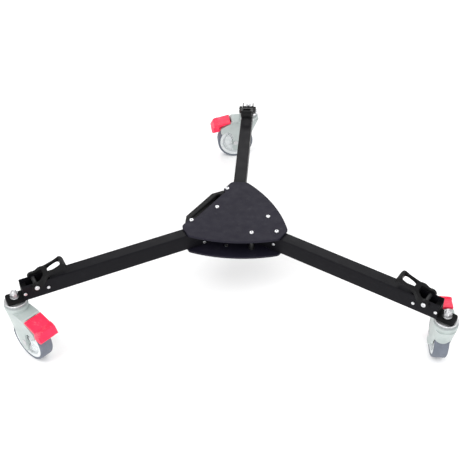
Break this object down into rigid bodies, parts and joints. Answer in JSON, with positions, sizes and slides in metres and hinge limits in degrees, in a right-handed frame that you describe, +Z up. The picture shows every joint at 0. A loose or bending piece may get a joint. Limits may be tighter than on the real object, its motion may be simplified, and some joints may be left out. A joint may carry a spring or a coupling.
{
  "type": "camera tripod dolly",
  "caption": "Folding three-arm dolly for a camera tripod, with foot clamps and braked swivel casters.",
  "frame": {"origin": "on the floor, directly under the centre of the hub", "axes": "+Z up, +Y along the rear arm, +X to the right arm's side"},
  "size_m": [0.9698, 0.9021, 0.2065],
  "materials": {
    "plate_paint": "satin dark grey paint with a slight purple tint",
    "arm_finish": "near-black satin anodised tube",
    "bracket_finish": "near-black casting",
    "black_moulding": "black moulded plastic, low sheen",
    "bright_screws": "bright zinc plate",
    "zinc_steel": "zinc-plated steel",
    "dark_steel": "blackened steel",
    "bearing_steel": "ground steel",
    "swivel_grey": "mid grey moulding",
    "caster_grey": "pale grey moulding, slightly green",
    "wheel_rim": "off-white moulding",
    "blue_grey_tread": "soft blue-grey tread",
    "pedal_red": "pinkish red moulding"
  },
  "bodies": {
    "hub": {"top_plate": "plate_paint", "bottom_plate": "plate_paint", "carry_handle": "black_moulding", "handle_screws": "bright_screws", "hub_standoffs": "dark_steel", "standoff_screws": "bright_screws", "inner_arm_bolts": "dark_steel", "pivot_washers": "bearing_steel", "fixed_arm_bolt": "bright_screws", "lock_straps": "dark_steel", "lock_strap_screws": "bright_screws", "right_arm_tube": "arm_finish", "right_pivot_bushing": "bearing_steel", "right_end_bracket": "bracket_finish", "right_side_screws": "bright_screws", "right_lever_bolt": "bright_screws", "right_caster_stem": "zinc_steel", "right_stem_nut": "zinc_steel"},
    "left_arm": {"left_arm_tube": "arm_finish", "left_pivot_bushing": "bearing_steel", "left_end_bracket": "bracket_finish", "left_side_screws": "bright_screws", "left_lever_bolt": "bright_screws", "left_caster_stem": "zinc_steel", "left_stem_nut": "zinc_steel"},
    "left_lock": {"left_lock_knob": "black_moulding"},
    "rear_arm": {"rear_arm_tube": "arm_finish", "rear_pivot_bushing": "bearing_steel", "rear_end_bracket": "bracket_finish", "rear_side_screws": "bright_screws", "rear_lever_bolt": "bright_screws", "rear_caster_stem": "zinc_steel", "rear_stem_nut": "zinc_steel"},
    "rear_lock": {"rear_lock_knob": "black_moulding"},
    "left_lever": {"left_clamp_lever": "black_moulding"},
    "left_swivel": {"left_caster_housing": "caster_grey", "left_swivel_bearing": "swivel_grey", "left_wheel_axle": "zinc_steel"},
    "left_wheel": {"left_wheel_core": "wheel_rim", "left_wheel_tread": "blue_grey_tread", "left_wheel_bearings": "bearing_steel"},
    "left_pedal": {"left_brake_pedal": "pedal_red"},
    "right_lever": {"right_clamp_lever": "black_moulding"},
    "right_swivel": {"right_caster_housing": "caster_grey", "right_swivel_bearing": "swivel_grey", "right_wheel_axle": "zinc_steel"},
    "right_wheel": {"right_wheel_core": "wheel_rim", "right_wheel_tread": "blue_grey_tread", "right_wheel_bearings": "bearing_steel"},
    "right_pedal": {"right_brake_pedal": "pedal_red"},
    "rear_lever": {"rear_clamp_lever": "black_moulding"},
    "rear_swivel": {"rear_caster_housing": "caster_grey", "rear_swivel_bearing": "swivel_grey", "rear_wheel_axle": "zinc_steel"},
    "rear_wheel": {"rear_wheel_core": "wheel_rim", "rear_wheel_tread": "blue_grey_tread", "rear_wheel_bearings": "bearing_steel"},
    "rear_pedal": {"rear_brake_pedal": "pedal_red"}
  },
  "joints": [
    {"name": "left_arm_fold", "type": "hinge", "parent": "hub", "child": "left_arm", "pos_m": [-0.03637, -0.021, 0.157], "axis": [0, 0, 1], "range_deg": [0, 105]},
    {"name": "left_lock_turn", "type": "hinge", "parent": "hub", "child": "left_lock", "pos_m": [-0.07621, -0.044, 0.115], "axis": [0, 0, -1], "range_deg": [0, 180]},
    {"name": "rear_arm_fold", "type": "hinge", "parent": "hub", "child": "rear_arm", "pos_m": [0, 0.042, 0.157], "axis": [0, 0, -1], "range_deg": [0, 105]},
    {"name": "rear_lock_turn", "type": "hinge", "parent": "hub", "child": "rear_lock", "pos_m": [0, 0.088, 0.115], "axis": [0, 0, -1], "range_deg": [0, 180]},
    {"name": "left_lever_lift", "type": "hinge", "parent": "left_arm", "child": "left_lever", "pos_m": [-0.41656, -0.2405, 0.1715], "axis": [0.5, -0.866, 0], "range_deg": [0, 110]},
    {"name": "left_caster_swivel", "type": "hinge", "parent": "left_arm", "child": "left_swivel", "pos_m": [-0.45726, -0.264, 0.118], "axis": [0, 0, 1], "continuous": true},
    {"name": "left_wheel_roll", "type": "hinge", "parent": "left_swivel", "child": "left_wheel", "pos_m": [-0.42613, -0.28832, 0.05], "axis": [0.6157, 0.788, 0], "continuous": true},
    {"name": "left_pedal_press", "type": "hinge", "parent": "left_swivel", "child": "left_pedal", "pos_m": [-0.41234, -0.29909, 0.1065], "axis": [0.6157, 0.788, 0], "range_deg": [0, 12]},
    {"name": "right_lever_lift", "type": "hinge", "parent": "hub", "child": "right_lever", "pos_m": [0.41656, -0.2405, 0.1715], "axis": [0.5, 0.866, 0], "range_deg": [0, 110]},
    {"name": "right_caster_swivel", "type": "hinge", "parent": "hub", "child": "right_swivel", "pos_m": [0.45726, -0.264, 0.118], "axis": [0, 0, 1], "continuous": true},
    {"name": "right_wheel_roll", "type": "hinge", "parent": "right_swivel", "child": "right_wheel", "pos_m": [0.45864, -0.22452, 0.05], "axis": [-0.9994, 0.0349, 0], "continuous": true},
    {"name": "right_pedal_press", "type": "hinge", "parent": "right_swivel", "child": "right_pedal", "pos_m": [0.45925, -0.20703, 0.1065], "axis": [-0.9994, 0.0349, 0], "range_deg": [0, 12]},
    {"name": "rear_lever_lift", "type": "hinge", "parent": "rear_arm", "child": "rear_lever", "pos_m": [0, 0.481, 0.1715], "axis": [-1, 0, 0], "range_deg": [0, 110]},
    {"name": "rear_caster_swivel", "type": "hinge", "parent": "rear_arm", "child": "rear_swivel", "pos_m": [0, 0.528, 0.118], "axis": [0, 0, 1], "continuous": true},
    {"name": "rear_wheel_roll", "type": "hinge", "parent": "rear_swivel", "child": "rear_wheel", "pos_m": [-0.03877, 0.52046, 0.05], "axis": [0.1908, -0.9816, 0], "continuous": true},
    {"name": "rear_pedal_press", "type": "hinge", "parent": "rear_swivel", "child": "rear_pedal", "pos_m": [-0.05595, 0.51712, 0.1065], "axis": [0.1908, -0.9816, 0], "range_deg": [0, 12]}
  ]
}
